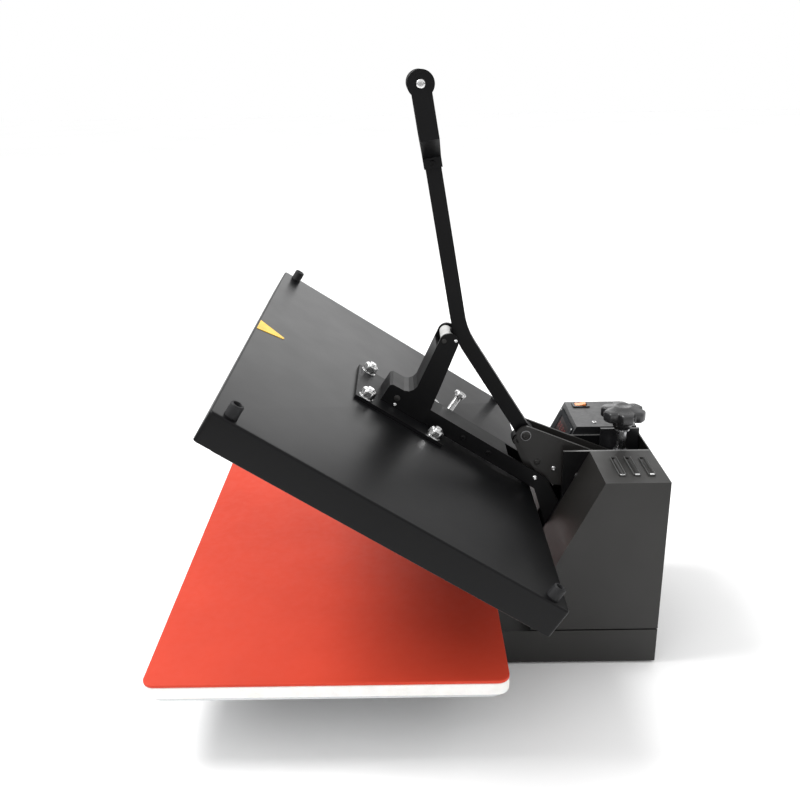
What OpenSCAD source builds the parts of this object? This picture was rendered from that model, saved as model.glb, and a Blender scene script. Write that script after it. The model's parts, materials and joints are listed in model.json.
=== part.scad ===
// Clamshell heat press with a 600 x 400 mm platen, opened at rest.
// X runs across the machine, -Y is the operator's side, Z is up.

/* [Work area] */
// Width of the mat and of the heated plate, across the machine
mat_w = 600; // [560:5:620]
// Depth of the mat and of the heated plate
mat_d = 400; // [380:5:400]
// Corner radius of the mat and the plates
mat_r = 14; // [8:1:20]
// Thickness of the red silicone sheet
sheet_t = 4; // [2:0.5:5]
// Thickness of the white foam pad
foam_t = 15; // [10:1:16]
// Thickness of the fixed lower plate
lower_plate_t = 6; // [5:1:8]

/* [Platen] */
// How far the heated platen stands open at rest, in degrees
open_angle = 33; // [28:1:36]
// Border of the cover round the heated plate
cover_border = 10; // [8:1:12]
// Height of the platen cover
cover_h = 36; // [34:1:40]
// Wall of the folded sheet covers
sheet_wall = 1.5; // [1.2:0.1:2]
// How far the heated plate stands below the cover
plate_proud = 5.5; // [4:0.5:7]

/* [Frame] */
// Width of the base and of the rear housing
base_w = 252; // [244:2:260]
// Height of the base above the floor
base_h = 50; // [46:1:54]
// Height of the rear housing
housing_h = 257; // [252:1:260]
// Thickness of the two upright frame plates
frame_t = 4; // [3:0.5:4]

/* [Lever] */
// Length of the lever from its pivot to the bend
lever_low = 162; // [158:1:164]
// Length of the lever from the bend to the grip
lever_high = 303.5; // [280:1:320]
// Width of the lever bar
lever_w = 19; // [17:0.5:20]
// Length of the grip between the fork ends
grip_len = 119; // [100:1:130]

/* [Pressure knob] */
// Number of lobes on the pressure knob
knob_lobes = 6; // [5:1:8]
// Radius of the pressure knob over its lobes
knob_r = 29; // [26:0.5:30]

/* [Hidden] */
$fn = 64;

// ---- levels of the lower table ----
plate_z = base_h + 33;
foam_z = plate_z + lower_plate_t;
sheet_z = foam_z + foam_t;
mat_top = sheet_z + sheet_t;
mat_front = -306;
mat_rear = mat_front + mat_d;

// ---- main hinge and the platen's own frame: y runs back along the cover, z stands off it ----
hinge_y = 210;
hinge_z = 94;
cover_w = mat_w + 2 * cover_border;
cover_d = mat_d + 2 * cover_border;
closed_front = mat_front - cover_border;
closed_top = mat_top + 0.4 + plate_proud + cover_h;
hinge_along = hinge_y - closed_front;
hinge_up = hinge_z - closed_top;

// ---- layers across the machine, as half widths ----
lever_x = 8;
link_x = 8.5;
link_t = 3;
cheek_x = 12.2;
cheek_t = 4;
arm_x = 19.5;
arm_t = 4;
bracket_x = arm_x + arm_t + 0.1;
frame_x = 25;
box_x = frame_x + frame_t + 0.2;

// ---- rear housing outline ----
rear_y = 303;
panel_y = rear_y - sheet_wall;
front_y = 141;
knee_z = 89;
top_front_y = 224;
slant_run = top_front_y - front_y;
slant_rise = housing_h - knee_z;
slant_len = sqrt(slant_run * slant_run + slant_rise * slant_rise);
slant_angle = atan2(slant_rise, slant_run);

// ---- toggle linkage ----
fulcrum = [142, 275];
crank_r = 12;
crank_angle = -133.6;
fulcrum_r = 4.5;
crank_pin_r = 3.5;
link_eye_r = 7;
link_low_eye_r = 13.5;
link_slack = 5.5;
anchor_pin_r = 4;
pivot_r = 6;
main_pin_r = 8;
sleeve_r = 11;
crank = fulcrum + crank_r * [cos(crank_angle), sin(crank_angle)];
anchor = [194.4, 124.1];
rocker_pivot = [212, 222];
trunnion = [271, 225];
low_lean = 32.1;
high_lean = 9.4;
bend = fulcrum + lever_low * [-sin(low_lean), cos(low_lean)];
cheek_rivet = [158, 237];
cheek_spacer = [180, 228];

// ---- controller on the left housing ----
pod_proud = 11;
pod_top = housing_h + 11;
pod_len = 75;
pod_rear = 298;
pod_x0 = -base_w / 2;
pod_x1 = -box_x;
pod_wall = 2;
up_slope = [cos(slant_angle), sin(slant_angle)];
off_slope = [-sin(slant_angle), cos(slant_angle)];
pod_line = [top_front_y, housing_h] + pod_proud * off_slope;
pod_edge = pod_line + up_slope * (pod_top - pod_line[1]) / up_slope[1];
panel_w = 84;
panel_l = 62;
button_r = 5;
button_gap = 22;
switch_pos = [-112, 238];
switch_w = 13;
switch_l = 19;

// ---- heater cable: its route [y, z] from the cover's gland to the housing's gland ----
cable_x = -62;
cable_r = 3.5;
cable_sides = 10;
cable_route = [[142.6, 183], [146.8, 180.3], [151.8, 177], [156, 172.5], [158.2, 167], [158, 160.5],
    [155.5, 154], [151, 147.5], [146, 141], [141, 134.5], [137, 127.5], [135, 120.5],
    [135.2, 114], [138.6, 108.9], [143.5, 106.4], [148.4, 104], [150.2, 103.1]];
gland_r = 6;
gland_up = -18;
low_gland_z = 104;

// ---- helpers ----
function unit(v) = v / norm(v);
function turn(v, a) = [v[0] * cos(a) - v[1] * sin(a), v[0] * sin(a) + v[1] * cos(a)];

// A cylinder along X through the point p = [y, z]
module x_rod(p, r, x0, x1) {
    translate([x0, p[0], p[1]])
        rotate([0, 90, 0])
            cylinder(r = r, h = x1 - x0);
}

// Extrudes an outline drawn in [y, z] along X
module x_plate(x0, t) {
    translate([x0, 0, 0])
        rotate([90, 0, 90])
            linear_extrude(t)
                children();
}

// The same outline on both sides of the centre plane
module x_pair(x0, t) {
    x_plate(x0, t) children();
    x_plate(-x0 - t, t) children();
}

// A flat bar with round ends of two radii; its sides lie a hair inside the true tangents
module bar(p, q, r1, r2) {
    slim = 0.02;
    a = acos((r1 - r2) / norm(q - p));
    u = unit(q - p);
    e1 = r1 - slim;
    e2 = r2 - slim;
    polygon([p + e1 * turn(u, a), q + e2 * turn(u, a), q + e2 * turn(u, -a), p + e1 * turn(u, -a)]);
    translate(p) circle(r1);
    translate(q) circle(r2);
}

// A rectangle with round corners, centred
module soft_rect(w, d, r) {
    square([w - 2 * r, d], center = true);
    square([w, d - 2 * r], center = true);
    for (sx = [-1, 1], sy = [-1, 1])
        translate([sx * (w / 2 - r), sy * (d / 2 - r)])
            circle(r);
}

module hex_prism(across, h) {
    cylinder(r = across / sqrt(3), h = h, $fn = 6);
}

// Places a piece drawn in the platen's own frame
module on_platen() {
    translate([0, hinge_y, hinge_z])
        rotate([-open_angle, 0, 0])
            translate([0, -hinge_along, -hinge_up])
                children();
}

// Places a piece drawn along the lever's upper part, z from the bend to the grip
module on_lever() {
    translate([0, bend[0], bend[1]])
        rotate([high_lean, 0, 0])
            children();
}

// Places a piece on the controller's sloping face, z standing out of it
module on_panel() {
    mid = pod_edge - up_slope * pod_len / 2;
    translate([(pod_x0 + pod_x1) / 2, mid[0], mid[1]])
        rotate([slant_angle, 0, 0])
            children();
}

// Places a piece where the heater cable enters the left housing, z standing out of its front
module at_low_gland() {
    translate([cable_x, front_y + (low_gland_z - knee_z) * slant_run / slant_rise, low_gland_z])
        rotate([slant_angle, 0, 0])
            children();
}

module at_corners(dx, dy) {
    for (sx = [-1, 1], sy = [-1, 1])
        translate([sx * dx, sy * dy, 0])
            children();
}

// ---- base ----
base_front = -250;
base_len = rear_y - base_front;
base_mid = (rear_y + base_front) / 2;
base_wall = 2.5;
foot_h = 3;
foot_dx = base_w / 2 - 18;
foot_dy = base_len / 2 - 20;
flange_w = 34;

module base_frame() {
    color([0.06, 0.06, 0.065])
        difference() {
            translate([-base_w / 2, base_front, foot_h])
                cube([base_w, base_len, base_h - foot_h]);
            translate([-base_w / 2 + base_wall, base_front + base_wall, foot_h + base_wall])
                cube([base_w - 2 * base_wall, base_len - 2 * base_wall, base_h - foot_h - 2 * base_wall]);
            translate([-base_w / 2 + flange_w, base_front + flange_w, 0])
                cube([base_w - 2 * flange_w, base_len - 2 * flange_w, base_h / 2]);
            translate([0, base_mid, 0])
                at_corners(foot_dx, foot_dy)
                    cylinder(r = 3, h = base_h / 2);
            for (y = support_y, x = stud_x)
                translate([x, y, base_h - 5])
                    cylinder(r = 4, h = 10);
        }
}

module base_crossbars() {
    color([0.06, 0.06, 0.065])
        for (y = [-150, 30])
            translate([-base_w / 2 + base_wall, y, base_h - base_wall - 20])
                cube([base_w - 2 * base_wall, 25, 20]);
}

module rubber_feet() {
    color([0.03, 0.03, 0.03])
        translate([0, base_mid, 0])
            at_corners(foot_dx, foot_dy)
                difference() {
                    cylinder(r1 = 12, r2 = 14, h = foot_h, $fn = 48);
                    translate([0, 0, 1])
                        cylinder(r = 3, h = foot_h);
                }
}

module foot_screws() {
    color([0.7, 0.7, 0.72])
        translate([0, base_mid, 0])
            at_corners(foot_dx, foot_dy) {
                translate([0, 0, 1])
                    cylinder(r = 3, h = 8);
                translate([0, 0, foot_h + base_wall])
                    hex_prism(10, 4);
            }
}

// ---- lower table ----
support_y = [-210, 20];
stud_x = [-100, 100];
channel_w = 40;
channel_h = 16;
channel_z = plate_z - channel_h;

module support_channels() {
    color([0.06, 0.06, 0.065])
        for (y = support_y)
            translate([-mat_w / 2 + 40, y - channel_w / 2, channel_z])
                difference() {
                    cube([mat_w - 80, channel_w, channel_h]);
                    translate([-1, 3, -1])
                        cube([mat_w - 78, channel_w - 6, channel_h - 2]);
                    for (x = stud_x)
                        translate([x + mat_w / 2 - 40, channel_w / 2, 0])
                            cylinder(r = 4, h = channel_h + 1);
                }
}

module levelling_studs() {
    color([0.7, 0.7, 0.72])
        for (y = support_y, x = stud_x)
            translate([x, y, base_h - 8])
                cylinder(r = 4, h = plate_z - base_h + 8);
}

module levelling_nuts() {
    color([0.7, 0.7, 0.72])
        for (y = support_y, x = stud_x)
            for (z = [base_h, plate_z - 9])
                translate([x, y, z])
                    difference() {
                        hex_prism(13, 6);
                        translate([0, 0, -1])
                            cylinder(r = 4, h = 8);
                    }
}

module table_layer(z, t, inset) {
    translate([0, (mat_front + mat_rear) / 2, z])
        linear_extrude(t)
            soft_rect(mat_w - 2 * inset, mat_d - 2 * inset, mat_r);
}

module lower_plate() {
    color([0.55, 0.55, 0.57]) table_layer(plate_z, lower_plate_t, 6);
}

module foam_pad() {
    color([0.93, 0.92, 0.89]) table_layer(foam_z, foam_t, 0);
}

module silicone_sheet() {
    color([0.75, 0.14, 0.07]) table_layer(sheet_z, sheet_t, 0);
}

// ---- frame uprights and housing ----
frame_front = 190;
frame_front_z = knee_z + (frame_front - front_y) * slant_rise / slant_run;

module frame_plates() {
    color([0.05, 0.05, 0.055])
        difference() {
            x_pair(frame_x, frame_t)
                polygon([[front_y, base_h], [front_y, knee_z], [frame_front, frame_front_z],
                    [frame_front, housing_h], [panel_y, housing_h], [panel_y, base_h]]);
            x_rod([hinge_y, hinge_z], main_pin_r + 0.02, -40, 40);
            x_rod(rocker_pivot, pivot_r + 0.02, -40, 40);
        }
}

// Outline of a housing side, moved inwards by t
module housing_outline(t) {
    shift = t * slant_len / slant_rise;
    inner_knee = knee_z + (t - shift) * slant_rise / slant_run;
    top_y = front_y + shift + (housing_h - t - knee_z) * slant_run / slant_rise;
    low = base_h + 2 - (t > 0 ? 1 : 0);
    back = panel_y + (t > 0 ? 1 : 0);
    polygon([[front_y + t, low], [front_y + t, inner_knee], [top_y, housing_h - t],
        [back, housing_h - t], [back, low]]);
}

louvre_y = [249, 267, 285];
louvre_x = 78;
louvre_l = 56;
louvre_w = 7;

module housing_shell() {
    difference() {
        x_plate(box_x, base_w / 2 - box_x)
            housing_outline(0);
        x_plate(box_x - 1, base_w / 2 - box_x - sheet_wall + 1)
            housing_outline(sheet_wall);
    }
}

module right_housing() {
    color([0.07, 0.068, 0.065]) {
        difference() {
            housing_shell();
            for (y = louvre_y)
                translate([louvre_x, y, housing_h - 5])
                    linear_extrude(10)
                        soft_rect(louvre_l, louvre_w, louvre_w / 2 - 0.1);
        }
        for (y = louvre_y)
            louvre_hood(y);
    }
}

// The pressed lip over the rear half of a vent
module louvre_hood(y) {
    translate([louvre_x - louvre_l / 2 + 3, y, housing_h - 0.7])
        intersection() {
            rotate([0, 90, 0])
                difference() {
                    cylinder(r = louvre_w / 2 + 0.9, h = louvre_l - 6);
                    translate([0, 0, -1])
                        cylinder(r = louvre_w / 2 - 0.3, h = louvre_l);
                }
            translate([-1, 0, 0])
                cube([louvre_l, louvre_w + 2, 2.4]);
        }
}

module left_housing() {
    color([0.07, 0.068, 0.065])
        difference() {
            mirror([1, 0, 0])
                housing_shell();
            on_panel()
                translate([-30, -20, -pod_proud - 10])
                    cube([60, 40, 12]);
            at_low_gland()
                translate([0, 0, -5])
                    cylinder(r = gland_r, h = 10);
        }
}

inlet_x = -88;
inlet_z = 120;
inlet_w = 28;
inlet_h = 20;
inlet_rim = 6;
inlet_wall = 2.5;
prong_y = 12;
fuse_x = -52;
fuse_r = 6.5;
slit_w = 5;
slit_h = 60;

module rear_panel() {
    color([0.07, 0.068, 0.065])
        difference() {
            translate([-base_w / 2, panel_y, base_h + 2])
                cube([base_w, sheet_wall, housing_h - base_h - 2]);
            translate([inlet_x - inlet_w / 2, panel_y - 1, inlet_z - inlet_h / 2])
                cube([inlet_w, 4, inlet_h]);
            translate([fuse_x, panel_y - 1, inlet_z])
                rotate([-90, 0, 0])
                    cylinder(r = fuse_r, h = 4);
            for (x = [40:12:112])
                translate([x, panel_y - 1, 90])
                    cube([slit_w, 4, slit_h]);
        }
}

// ---- thrust block under the pressure rod ----
block_z = 196;
block_h = 12;

module thrust_block() {
    color([0.1, 0.1, 0.1])
        difference() {
            translate([-frame_x, trunnion[0] - 14, block_z])
                cube([2 * frame_x, 28, block_h]);
            translate([0, trunnion[0], block_z - 1])
                cylinder(r = 5.05, h = block_h + 2);
        }
}

module main_hinge_pin() {
    color([0.7, 0.7, 0.72]) {
        x_rod([hinge_y, hinge_z], main_pin_r, -frame_x - frame_t - 4, frame_x + frame_t + 4);
        for (x = [-frame_x - frame_t - 3.2, frame_x + frame_t + 1.2])
            x_rod([hinge_y, hinge_z], main_pin_r + 3, x, x + 2);
    }
}

module rocker_pivot_pin() {
    color([0.7, 0.7, 0.72]) {
        x_rod(rocker_pivot, pivot_r, -frame_x - frame_t, frame_x + frame_t);
        for (s = [0, 1])
            mirror([s, 0, 0])
                x_rod(rocker_pivot, pivot_r + 3, cheek_x + cheek_t + 0.4, frame_x);
    }
}

module wiring_duct() {
    color([0.03, 0.03, 0.03])
        translate([-frame_x, 248, 232])
            cube([4.6, 52, 36]);
}

// ---- controller ----
pod_low = pod_edge - up_slope * pod_len;

module pod_outline() {
    polygon([pod_low - off_slope * pod_proud, pod_low, pod_edge, [pod_rear, pod_top],
        [pod_rear, housing_h], [top_front_y, housing_h]]);
}

// The hollow inside the pod, open through the faces that sit on the housing
module pod_hollow(t) {
    bevel = tan(slant_angle / 2);
    polygon([pod_low + up_slope * t - off_slope * (pod_proud + 1),
        pod_low + up_slope * t - off_slope * t,
        pod_edge + [t * bevel, -t],
        [pod_rear - t, pod_top - t],
        [pod_rear - t, housing_h - 1],
        [top_front_y + bevel, housing_h - 1]]);
}

module controller_housing() {
    color([0.035, 0.035, 0.04])
        difference() {
            x_plate(pod_x0, pod_x1 - pod_x0)
                pod_outline();
            x_plate(pod_x0 + pod_wall, pod_x1 - pod_x0 - 2 * pod_wall)
                pod_hollow(pod_wall);
            on_panel()
                translate([-panel_w / 2 + 6, -panel_l / 2 + 4, -5])
                    cube([panel_w - 12, panel_l - 8, 10]);
            translate([switch_pos[0] - switch_w / 2, switch_pos[1] - switch_l / 2, pod_top - 5])
                cube([switch_w, switch_l, 10]);
            for (p = pod_screw_pos)
                translate([p[0], p[1], pod_top - 5])
                    cylinder(r = 2, h = 10);
        }
}

pod_screw_pos = [[-45, 244], [-45, 290], [-112, 290]];
button_y = -16;
window_w = 52;
window_l = 22;
window_y = 2;
window_t = 2;

module controller_panel() {
    color([0.16, 0.17, 0.18])
        on_panel()
            difference() {
                linear_extrude(1.2)
                    soft_rect(panel_w, panel_l, 4);
                translate([-window_w / 2, window_y, -1])
                    cube([window_w, window_l, 4]);
                for (i = [-1:1])
                    translate([i * button_gap, button_y, -1])
                        cylinder(r = button_r + 0.4, h = 4);
            }
}

module controller_display() {
    color([0.08, 0.02, 0.02])
        on_panel()
            translate([-window_w / 2, window_y, -1.2])
                cube([window_w, window_l, window_t]);
}

module controller_screws() {
    color([0.75, 0.75, 0.77]) {
        for (p = pod_screw_pos)
            translate([p[0], p[1], pod_top]) {
                translate([0, 0, -4])
                    cylinder(r = 2, h = 4);
                cylinder(r = 3.4, h = 1.4);
            }
        on_panel()
            at_corners(panel_w / 2 - 3.2, panel_l / 2 - 3.2)
                translate([0, 0, 1.2])
                    cylinder(r = 1.8, h = 0.8);
    }
}

// A round push button, its cap standing proud of the panel
module button(i) {
    on_panel()
        translate([i * button_gap, button_y, -0.6])
            cylinder(r = button_r, h = 4.2);
}

module button_set() {
    color([0.75, 0.12, 0.1]) button(0);
}

module button_up() {
    color([0.85, 0.85, 0.86]) button(1);
}

module button_down() {
    color([0.85, 0.85, 0.86]) button(-1);
}

module switch_bezel() {
    color([0.03, 0.03, 0.03])
        translate([switch_pos[0], switch_pos[1], pod_top])
            difference() {
                linear_extrude(1.6)
                    soft_rect(switch_w + 5, switch_l + 5, 2);
                translate([0, 0, 1])
                    cube([switch_w - 1.4, switch_l - 1.4, 6], center = true);
            }
}

switch_pivot = [switch_pos[1], pod_top - 2.5];

switch_tilt = 9;
rocker_w = 10;
rocker_l = 15;
rocker_dish_r = 17;

module power_switch() {
    color([0.9, 0.35, 0.03])
        translate([switch_pos[0], switch_pivot[0], switch_pivot[1]])
            rotate([switch_tilt, 0, 0]) {
                difference() {
                    translate([-rocker_w / 2, -rocker_l / 2, -2])
                        cube([rocker_w, rocker_l, 7.2]);
                    x_rod([0, 21.6], rocker_dish_r, -6, 6);
                }
                x_rod([0, 0], 1.5, -6.4, 6.4);
            }
}

module power_inlet() {
    color([0.03, 0.03, 0.03])
        translate([inlet_x, 0, inlet_z])
            difference() {
                union() {
                    translate([-inlet_w / 2, panel_y - 18, -inlet_h / 2])
                        cube([inlet_w, 21, inlet_h]);
                    translate([-inlet_w / 2 - inlet_rim, rear_y, -inlet_h / 2 - 2])
                        cube([inlet_w + 2 * inlet_rim, 2, inlet_h + 4]);
                }
                translate([-inlet_w / 2 + inlet_wall, panel_y - prong_y, -inlet_h / 2 + inlet_wall])
                    cube([inlet_w - 2 * inlet_wall, 30, inlet_h - 2 * inlet_wall]);
            }
    color([0.8, 0.7, 0.4])
        for (p = [[-7, -2], [0, 2], [7, -2]])
            translate([inlet_x + p[0] - 1, panel_y - prong_y, inlet_z + p[1] - 2.5])
                cube([2, prong_y - 1, 5]);
}

module fuse_holder() {
    color([0.03, 0.03, 0.03])
        translate([fuse_x, 0, inlet_z])
            rotate([-90, 0, 0]) {
                translate([0, 0, panel_y - 24])
                    cylinder(r = fuse_r, h = 26);
                translate([0, 0, rear_y])
                    cylinder(r = fuse_r + 2, h = 3);
            }
}

board_pos = [-118, 200];
board_size = [80, 76];
board_t = 1.6;
board_lift = 12;

// Each part on the board: its near corner on the board, then its size
board_parts = [[[6, 6], [24, 30, 22]], [[40, 10], [20, 18, 12]], [[44, 40], [30, 28, 16]]];

// The relay box on the housing's side wall
relay_pos = [230, 150];
relay_size = [24, 45, 58];

module control_board() {
    color([0.06, 0.3, 0.14])
        translate([board_pos[0], board_pos[1], base_h + board_lift])
            cube([board_size[0], board_size[1], board_t]);
    color([0.2, 0.2, 0.22])
        for (p = board_parts)
            translate([board_pos[0] + p[0][0], board_pos[1] + p[0][1], base_h + board_lift + board_t])
                cube(p[1]);
    color([0.85, 0.85, 0.8])
        translate([-base_w / 2 + sheet_wall, relay_pos[0], relay_pos[1]])
            cube(relay_size);
    color([0.8, 0.8, 0.8])
        for (x = [3, board_size[0] - 5], y = [4, board_size[1] - 6])
            translate([board_pos[0] + x, board_pos[1] + y, base_h])
                cylinder(r = 2.5, h = board_lift);
}

module gland(stub, nut) {
    difference() {
        union() {
            translate([0, 0, -stub])
                cylinder(r = gland_r, h = stub + 1);
            hex_prism(15, nut);
        }
        translate([0, 0, -stub - 1])
            cylinder(r = cable_r + 0.3, h = stub + nut + 2);
    }
}

module housing_gland() {
    color([0.03, 0.03, 0.03])
        at_low_gland()
            gland(4, 6);
}

// ---- heated platen ----
module platen_cover() {
    color([0.06, 0.06, 0.065])
        on_platen()
            difference() {
                translate([-cover_w / 2, 0, -cover_h])
                    cube([cover_w, cover_d, cover_h]);
                translate([-cover_w / 2 + sheet_wall, sheet_wall, -cover_h - 1])
                    cube([cover_w - 2 * sheet_wall, cover_d - 2 * sheet_wall, cover_h + 1 - sheet_wall]);
                translate([cable_x, cover_d - 5, gland_up])
                    rotate([-90, 0, 0])
                        cylinder(r = gland_r, h = 10);
            }
}

heat_plate_t = 16;

module platen_insulation() {
    color([0.85, 0.83, 0.75])
        on_platen()
            translate([-mat_w / 2, cover_border, -cover_h - plate_proud + heat_plate_t])
                cube([mat_w, mat_d, cover_h + plate_proud - heat_plate_t - sheet_wall]);
}

module heating_plate() {
    color([0.6, 0.6, 0.62])
        on_platen()
            translate([0, cover_d / 2, -cover_h - plate_proud])
                linear_extrude(heat_plate_t)
                    soft_rect(mat_w, mat_d, mat_r);
}

post_inset_x = 13;
post_inset_y = 20;
post_r = 7.2;
post_h = 14.5;

module at_posts() {
    for (sx = [-1, 1], y = [post_inset_y, cover_d - post_inset_y])
        translate([sx * (cover_w / 2 - post_inset_x), y, 0])
            children();
}

module corner_posts() {
    color([0.03, 0.03, 0.03])
        on_platen()
            at_posts()
                difference() {
                    cylinder(r = post_r, h = post_h);
                    translate([0, 0, 7])
                        cylinder(r = post_r - 2.6, h = post_h);
                    translate([0, 0, -1])
                        cylinder(r = 2.5, h = post_h);
                }
}

module corner_screws() {
    color([0.7, 0.7, 0.72])
        on_platen()
            at_posts() {
                cylinder(r = 2.5, h = 7);
                translate([0, 0, 7])
                    cylinder(r = 4.2, h = 3);
            }
}

// The adhesive arrow at the front edge: its width, its length and the radius of its tip
marker_w = 37;
marker_l = 34.5;
marker_tip_r = 4.2;

module centre_marker() {
    color([0.93, 0.72, 0.05])
        on_platen()
            linear_extrude(0.5) {
                polygon([[-marker_w / 2, 2], [marker_w / 2, 2], [4, marker_l + 1], [-4, marker_l + 1]]);
                translate([0, marker_l])
                    circle(marker_tip_r);
            }
}

plate_half = 60;
plate_a = 146;
plate_b = 274;
plate_t = 4.5;
nut_x = 50;
nut_a = [160, 260];
stud_r = 5;
washer_t = 1.5;

module mount_plate() {
    color([0.05, 0.05, 0.055])
        on_platen()
            difference() {
                translate([-plate_half, plate_a, 0])
                    cube([2 * plate_half, plate_b - plate_a, plate_t]);
                for (sx = [-1, 1], a = nut_a)
                    translate([sx * nut_x, a, -1])
                        cylinder(r = stud_r + 0.02, h = 8);
            }
}

module mount_nuts() {
    color([0.82, 0.82, 0.84])
        on_platen()
            for (sx = [-1, 1], a = nut_a)
                translate([sx * nut_x, a, 0]) {
                    cylinder(r = stud_r, h = plate_t + 14);
                    translate([0, 0, plate_t])
                        cylinder(r = 10, h = washer_t);
                    translate([0, 0, plate_t + washer_t])
                        hex_prism(17, 9.5);
                }
}

bolt_pos = [-62, 286];
bolt_h = 44;
bolt_hex = 15;

module sensor_bolt() {
    color([0.82, 0.82, 0.84])
        on_platen()
            translate([bolt_pos[0], bolt_pos[1], 0]) {
                cylinder(r = 4.5, h = bolt_h);
                cylinder(r = 10, h = 1.6);
                for (z = [1.6, bolt_h - 8])
                    translate([0, 0, z])
                        hex_prism(bolt_hex, 7);
            }
}

// ---- arm from the cover back to the main hinge ----
arm_a = 206;
arm_low = plate_t;
arm_high = 25;
arm_mid = (arm_low + arm_high) / 2;
arm_r = (arm_high - arm_low) / 2;
neck_a = cover_d + 4;
web_end = 365;
hinge_boss_r = 20;
hinge_local = [hinge_along, hinge_up];

// The link's anchor, turned into the platen's own frame
anchor_local = hinge_local + turn(anchor - [hinge_y, hinge_z], open_angle);

module arm_outline() {
    translate([arm_a, arm_low])
        square([neck_a - arm_a, arm_high - arm_low]);
    bar([neck_a, arm_mid], hinge_local, arm_r, hinge_boss_r);
    bar(anchor_local, hinge_local, 12, hinge_boss_r);
}

module arm_plates() {
    color([0.05, 0.05, 0.055])
        on_platen()
            difference() {
                x_pair(arm_x, arm_t)
                    arm_outline();
                x_rod(hinge_local, sleeve_r + 0.02, -40, 40);
                x_rod(anchor_local, anchor_pin_r, -40, 40);
            }
}

module arm_web() {
    color([0.05, 0.05, 0.055])
        on_platen() {
            translate([-arm_x, arm_a, arm_high - 3])
                cube([2 * arm_x, web_end - arm_a, 3]);
            translate([-arm_x, plate_b + 1, arm_low])
                cube([2 * arm_x, 60, 3]);
        }
}

arm_screw_pos = [[412, 18], [300, 15], [340, 15]];

module arm_screws() {
    color([0.82, 0.82, 0.84])
        on_platen()
            for (p = arm_screw_pos, s = [0, 1])
                mirror([s, 0, 0])
                    x_rod(p, 3.5, arm_x + arm_t, arm_x + arm_t + 2.2);
}

module hinge_sleeve() {
    color([0.72, 0.6, 0.35])
        on_platen()
            difference() {
                x_rod(hinge_local, sleeve_r, -frame_x + 0.4, frame_x - 0.4);
                x_rod(hinge_local, main_pin_r + 0.05, -40, 40);
            }
}

module link_anchor_pin() {
    color([0.7, 0.7, 0.72])
        on_platen()
            x_rod(anchor_local, anchor_pin_r, -arm_x - arm_t - 0.6, arm_x + arm_t + 0.6);
}

// ---- post with the roller that the open lever leans on ----
post_t = 4;
post_a = 181;
post_front = [[post_a, plate_t], [post_a, 27], [184, 30], [200, 30.5], [206, 33], [210, 38], [211.5, 44],
    [202, 112]];
post_back = [[226, 114], [243, 26], [244, plate_t]];
post_web = [[post_a, plate_t], [post_a, 27], [184, 30], [200, 30.5], [206, 33], [210, 38], [211.5, 44],
    [203.5, 101], [207.5, 101], [215.5, 44], [213.5, 35], [208, 29.5], [201, 26.8], [185.5, 26.4],
    [post_a + 3.5, 24.5], [post_a + 3.5, plate_t]];
post_top = [214, 113];
roller = [207.5, 112];
roller_r = 7.4;
post_pin = [198, 17];

module post_bracket() {
    color([0.05, 0.05, 0.055])
        on_platen()
            difference() {
                union() {
                    x_pair(bracket_x, post_t) {
                        polygon(concat(post_front, post_back));
                        translate(post_top)
                            circle(12);
                    }
                    x_plate(-bracket_x, 2 * bracket_x)
                        polygon(post_web);
                }
                x_rod(post_pin, 4, -40, 40);
                x_rod(roller, 3, -40, 40);
            }
}

module post_roller() {
    color([0.85, 0.85, 0.84])
        on_platen() {
            x_rod(roller, roller_r, -bracket_x, bracket_x);
            x_rod(roller, 3, -bracket_x - post_t - 1.5, bracket_x + post_t + 1.5);
            x_rod(post_pin, 4, -bracket_x - post_t - 1.5, bracket_x + post_t + 1.5);
        }
}

module cable_gland() {
    color([0.03, 0.03, 0.03])
        on_platen()
            translate([cable_x, cover_d, gland_up])
                rotate([-90, 0, 0])
                    gland(4, 6);
}

// Points of one ring round the cable's route
function route_dir(i) = unit(cable_route[min(i + 1, len(cable_route) - 1)] - cable_route[max(i - 1, 0)]);
function ring(i) = [for (k = [0:cable_sides - 1])
    let (a = 360 * k / cable_sides, n = turn(route_dir(i), 90), p = cable_route[i] + cable_r * sin(a) * n)
    [cable_x + cable_r * cos(a), p[0], p[1]]];
function ring_faces(i) = [for (k = [0:cable_sides - 1])
    let (a = i * cable_sides, b = a + cable_sides, m = (k + 1) % cable_sides)
    each [[a + k, a + m, b + m], [a + k, b + m, b + k]]];

module heater_cable() {
    rings = len(cable_route);
    points = [for (i = [0:rings - 1]) each ring(i)];
    side_faces = [for (i = [0:rings - 2]) each ring_faces(i)];
    first = [for (k = [0:cable_sides - 1]) cable_sides - 1 - k];
    last = [for (k = [0:cable_sides - 1]) (rings - 1) * cable_sides + k];
    color([0.03, 0.03, 0.03])
        polyhedron(points, concat(side_faces, [first, last]));
}

// ---- lever ----
lever_top = bend + 220 * [-sin(high_lean), cos(high_lean)];
low_side = turn(unit(bend - fulcrum), 90);
high_side = turn(unit(lever_top - bend), 90);
mitre = unit(low_side + high_side) / (unit(low_side + high_side) * low_side);

// The bend is an arc round bend_centre, on the grip's far side
bend_r = 110;
bend_steps = 8;
bend_centre = bend - bend_r * mitre;
function bend_arc(r, from, to) = [for (i = [0:bend_steps])
    let (a = 180 + from + (to - from) * i / bend_steps) bend_centre + r * [cos(a), sin(a)]];

module lever_outline() {
    w = lever_w / 2;
    polygon(concat([fulcrum + w * low_side], bend_arc(bend_r + w, low_lean, high_lean),
        [lever_top + w * high_side, lever_top - w * high_side],
        bend_arc(bend_r - w, high_lean, low_lean), [fulcrum - w * low_side]));
    translate(fulcrum) circle(12);
    translate(crank) circle(8.5);
}

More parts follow.
